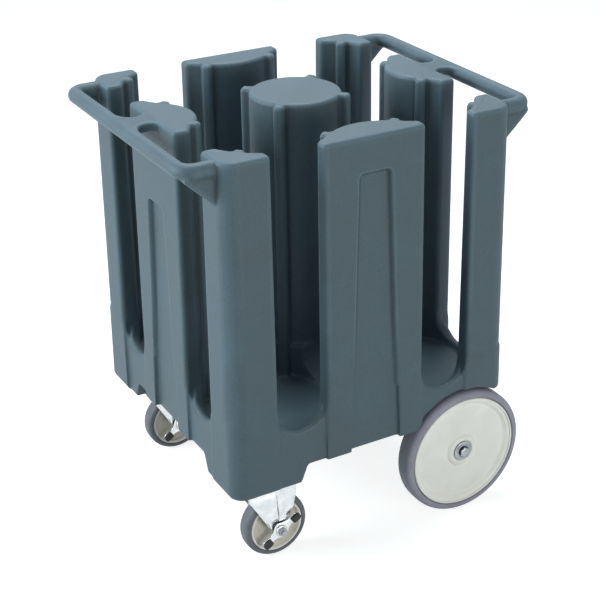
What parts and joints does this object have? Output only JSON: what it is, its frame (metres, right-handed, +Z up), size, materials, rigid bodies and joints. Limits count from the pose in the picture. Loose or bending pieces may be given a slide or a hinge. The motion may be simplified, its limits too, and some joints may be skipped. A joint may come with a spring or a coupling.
{
  "type": "plate dispenser cart",
  "caption": "Moulded trolley with upright posts that guide stacked plates, a push handle at each end, large rear wheels and braked swivel casters at the front.",
  "frame": {"origin": "on the floor, at the middle of the bounding box", "axes": "+Z up; the caster end faces -Y, the large wheels are at +Y, +X is the side with the caster brakes"},
  "size_m": [0.5766, 0.7, 0.805],
  "materials": {
    "moulded_body": "pebbled slate blue polyethylene",
    "rear_tyre": "grey rubber",
    "rear_disc": "off-white moulded",
    "bush": "dark nylon",
    "caster_tyre": "dark grey rubber",
    "caster_core": "beige-grey moulded",
    "brake_pad": "black",
    "plated_pressing": "bright zinc",
    "plated_hardware": "zinc"
  },
  "bodies": {
    "cart": {"body_base": "moulded_body", "centre_post": "moulded_body", "front_left_post": "moulded_body", "front_middle_post": "moulded_body", "front_right_post": "moulded_body", "left_middle_post": "moulded_body", "right_middle_post": "moulded_body", "rear_left_post": "moulded_body", "rear_middle_post": "moulded_body", "rear_right_post": "moulded_body", "front_handle": "moulded_body", "rear_handle": "moulded_body", "rear_axle": "plated_hardware", "left_axle_bracket": "plated_hardware", "right_axle_bracket": "plated_hardware", "axle_bracket_screws": "plated_hardware", "axle_spacers": "plated_hardware", "axle_end_bolts": "plated_hardware", "left_caster_plate": "plated_pressing", "left_plate_screws": "plated_hardware", "left_king_bolt": "plated_hardware", "left_king_nut": "plated_hardware", "left_swivel_balls": "plated_hardware", "right_caster_plate": "plated_pressing", "right_plate_screws": "plated_hardware", "right_king_bolt": "plated_hardware", "right_king_nut": "plated_hardware", "right_swivel_balls": "plated_hardware"},
    "left_rear_wheel": {"left_rear_tyre": "rear_tyre", "left_rear_rim": "rear_disc", "left_hub_bushes": "bush"},
    "left_caster_swivel": {"left_caster_fork": "plated_pressing", "left_wheel_bolt": "plated_hardware", "left_wheel_nut": "plated_hardware", "left_caster_sleeve": "plated_hardware"},
    "left_caster_wheel": {"left_caster_tyre": "caster_tyre", "left_caster_core": "caster_core"},
    "left_brake": {"left_brake_rocker": "plated_pressing", "left_brake_pads": "brake_pad"},
    "right_rear_wheel": {"right_rear_tyre": "rear_tyre", "right_rear_rim": "rear_disc", "right_hub_bushes": "bush"},
    "right_caster_swivel": {"right_caster_fork": "plated_pressing", "right_wheel_bolt": "plated_hardware", "right_wheel_nut": "plated_hardware", "right_caster_sleeve": "plated_hardware"},
    "right_caster_wheel": {"right_caster_tyre": "caster_tyre", "right_caster_core": "caster_core"},
    "right_brake": {"right_brake_rocker": "plated_pressing", "right_brake_pads": "brake_pad"}
  },
  "joints": [
    {"name": "left_rear_spin", "type": "hinge", "parent": "cart", "child": "left_rear_wheel", "pos_m": [-0.264, 0.199, 0.128], "axis": [1, 0, 0], "continuous": true},
    {"name": "left_swivel", "type": "hinge", "parent": "cart", "child": "left_caster_swivel", "pos_m": [-0.217, -0.217, 0.15], "axis": [0, 0, 1], "continuous": true},
    {"name": "left_caster_spin", "type": "hinge", "parent": "left_caster_swivel", "child": "left_caster_wheel", "pos_m": [-0.217, -0.182, 0.0635], "axis": [1, 0, 0], "continuous": true},
    {"name": "left_brake_rock", "type": "hinge", "parent": "left_caster_swivel", "child": "left_brake", "pos_m": [-0.187, -0.182, 0.0635], "axis": [1, 0, 0], "range_deg": [-28, 0]},
    {"name": "right_rear_spin", "type": "hinge", "parent": "cart", "child": "right_rear_wheel", "pos_m": [0.264, 0.199, 0.128], "axis": [1, 0, 0], "continuous": true},
    {"name": "right_swivel", "type": "hinge", "parent": "cart", "child": "right_caster_swivel", "pos_m": [0.217, -0.217, 0.15], "axis": [0, 0, 1], "continuous": true},
    {"name": "right_caster_spin", "type": "hinge", "parent": "right_caster_swivel", "child": "right_caster_wheel", "pos_m": [0.217, -0.182, 0.0635], "axis": [1, 0, 0], "continuous": true},
    {"name": "right_brake_rock", "type": "hinge", "parent": "right_caster_swivel", "child": "right_brake", "pos_m": [0.247, -0.182, 0.0635], "axis": [1, 0, 0], "range_deg": [-28, 0]}
  ]
}
